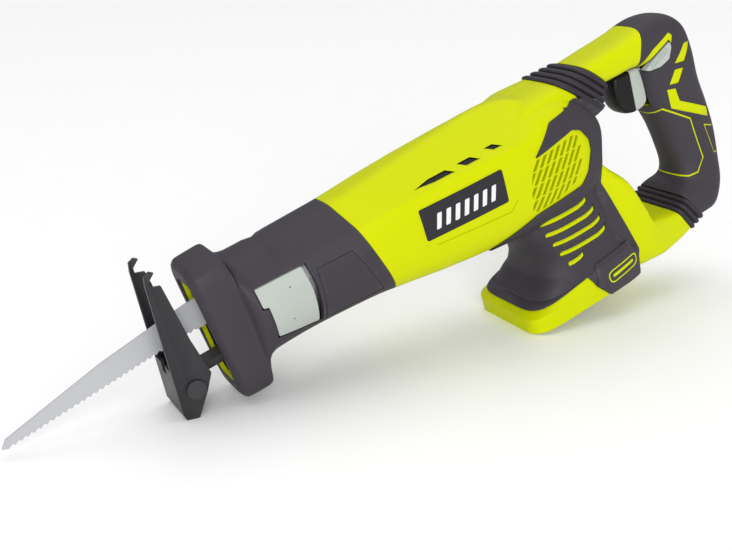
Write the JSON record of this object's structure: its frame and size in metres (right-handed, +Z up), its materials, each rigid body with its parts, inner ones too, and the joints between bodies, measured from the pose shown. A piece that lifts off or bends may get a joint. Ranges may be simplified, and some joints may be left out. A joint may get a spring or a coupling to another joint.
{
  "type": "reciprocating saw",
  "caption": "Cordless reciprocating saw with a swivelling shoe, straight toothed blade, stem battery foot and a D handle on rubber bellows.",
  "frame": {"origin": "middle of the bounding box's base, on the floor the saw stands on", "axes": "+Z up, -X towards the blade, +X towards the handle, left side towards -Y; the barrel rises 17.3 degrees towards the handle"},
  "size_m": [0.5816, 0.0872, 0.2198],
  "materials": {
    "lime_plastic": "satin",
    "grey_overmould": "matte",
    "bellows_rubber": "matte",
    "black_plastic": "matte",
    "pale_plastic": "satin",
    "bright_steel": "satin",
    "blackened_steel": "satin",
    "blade_steel": "satin",
    "cast_alloy": "matte",
    "copper": "satin",
    "brass": "satin",
    "magnet": "matte"
  },
  "bodies": {
    "casing": {"housing_left": "lime_plastic", "housing_right": "lime_plastic", "overmould_left": "grey_overmould", "overmould_right": "grey_overmould", "name_plate_left": "grey_overmould", "name_plate_right": "grey_overmould", "badge_left": "lime_plastic", "badge_right": "lime_plastic", "front_boot": "grey_overmould", "gearbox_housing": "cast_alloy", "plunger_bush": "brass", "gear_spindle": "bright_steel", "motor_plate": "cast_alloy", "motor_can": "bright_steel", "motor_end_cap": "black_plastic", "magnet_upper": "magnet", "magnet_lower": "magnet", "brush_upper": "magnet", "brush_lower": "magnet", "bearing_front": "bright_steel", "bearing_rear": "bright_steel", "terminal_block": "black_plastic", "terminal_left": "brass", "terminal_middle": "brass", "terminal_right": "brass", "upper_bellows": "bellows_rubber", "lower_bellows": "bellows_rubber", "handle_left": "lime_plastic", "handle_right": "lime_plastic", "grip_left": "grey_overmould", "grip_right": "grey_overmould", "switch_body": "black_plastic", "housing_screw_1": "bright_steel", "housing_screw_2": "bright_steel", "housing_screw_3": "bright_steel", "housing_screw_4": "bright_steel", "housing_screw_5": "bright_steel", "handle_screw_1": "bright_steel", "handle_screw_2": "bright_steel", "handle_screw_3": "bright_steel"},
    "plunger": {"plunger": "bright_steel", "blade": "blade_steel"},
    "blade_clamp": {"clamp_collar": "lime_plastic"},
    "gear": {"drive_gear": "bright_steel", "crank_pin": "bright_steel"},
    "rotor": {"motor_shaft": "bright_steel", "pinion": "bright_steel", "armature": "copper", "commutator": "copper", "fan": "black_plastic"},
    "shoe_post": {"shoe_post": "blackened_steel"},
    "shoe": {"shoe": "blackened_steel", "shoe_pin": "blackened_steel"},
    "shoe_lever": {"shoe_lever": "pale_plastic"},
    "trigger": {"trigger": "pale_plastic", "trigger_pad": "black_plastic"},
    "lock_button": {"lock_button": "pale_plastic"}
  },
  "joints": [
    {"name": "plunger_slide", "type": "slide", "parent": "casing", "child": "plunger", "axis": [0.9548, 0, 0.2974], "range_m": [-0.011, 0.011]},
    {"name": "clamp_twist", "type": "hinge", "parent": "plunger", "child": "blade_clamp", "pos_m": [-0.14248, 0, 0.06887], "axis": [0.9548, 0, 0.2974], "range_deg": [0, 45], "stiffness_Nm_per_rad": 0.05, "springref_deg": -11.46},
    {"name": "rotor_spin", "type": "hinge", "parent": "casing", "child": "rotor", "pos_m": [0.02155, 0, 0.11054], "axis": [0.9548, 0, 0.2974], "continuous": true},
    {"name": "gear_spin", "type": "hinge", "parent": "casing", "child": "gear", "pos_m": [-0.04738, 0, 0.07964], "axis": [-0.2974, 0, 0.9548], "continuous": true},
    {"name": "post_slide", "type": "slide", "parent": "casing", "child": "shoe_post", "axis": [-0.9548, 0, -0.2974], "range_m": [0, 0.032]},
    {"name": "shoe_tilt", "type": "hinge", "parent": "shoe_post", "child": "shoe", "pos_m": [-0.1726, 0, 0.02064], "axis": [0, -1, 0], "range_deg": [-8, 30]},
    {"name": "lever_swing", "type": "hinge", "parent": "casing", "child": "shoe_lever", "pos_m": [-0.1259, -0.0369, 0.06775], "axis": [0.2974, 0, -0.9548], "range_deg": [0, 70]},
    {"name": "trigger_press", "type": "slide", "parent": "casing", "child": "trigger", "axis": [0.9548, 0, 0.2974], "range_m": [0, 0.007], "stiffness_N_per_m": 1500, "springref_m": -0.003},
    {"name": "lock_slide", "type": "slide", "parent": "casing", "child": "lock_button", "axis": [0, 1, 0], "range_m": [0, 0.003]}
  ],
  "couplings": [
    {"joint": "gear_spin", "follows": "rotor_spin", "ratio": 0.25}
  ]
}
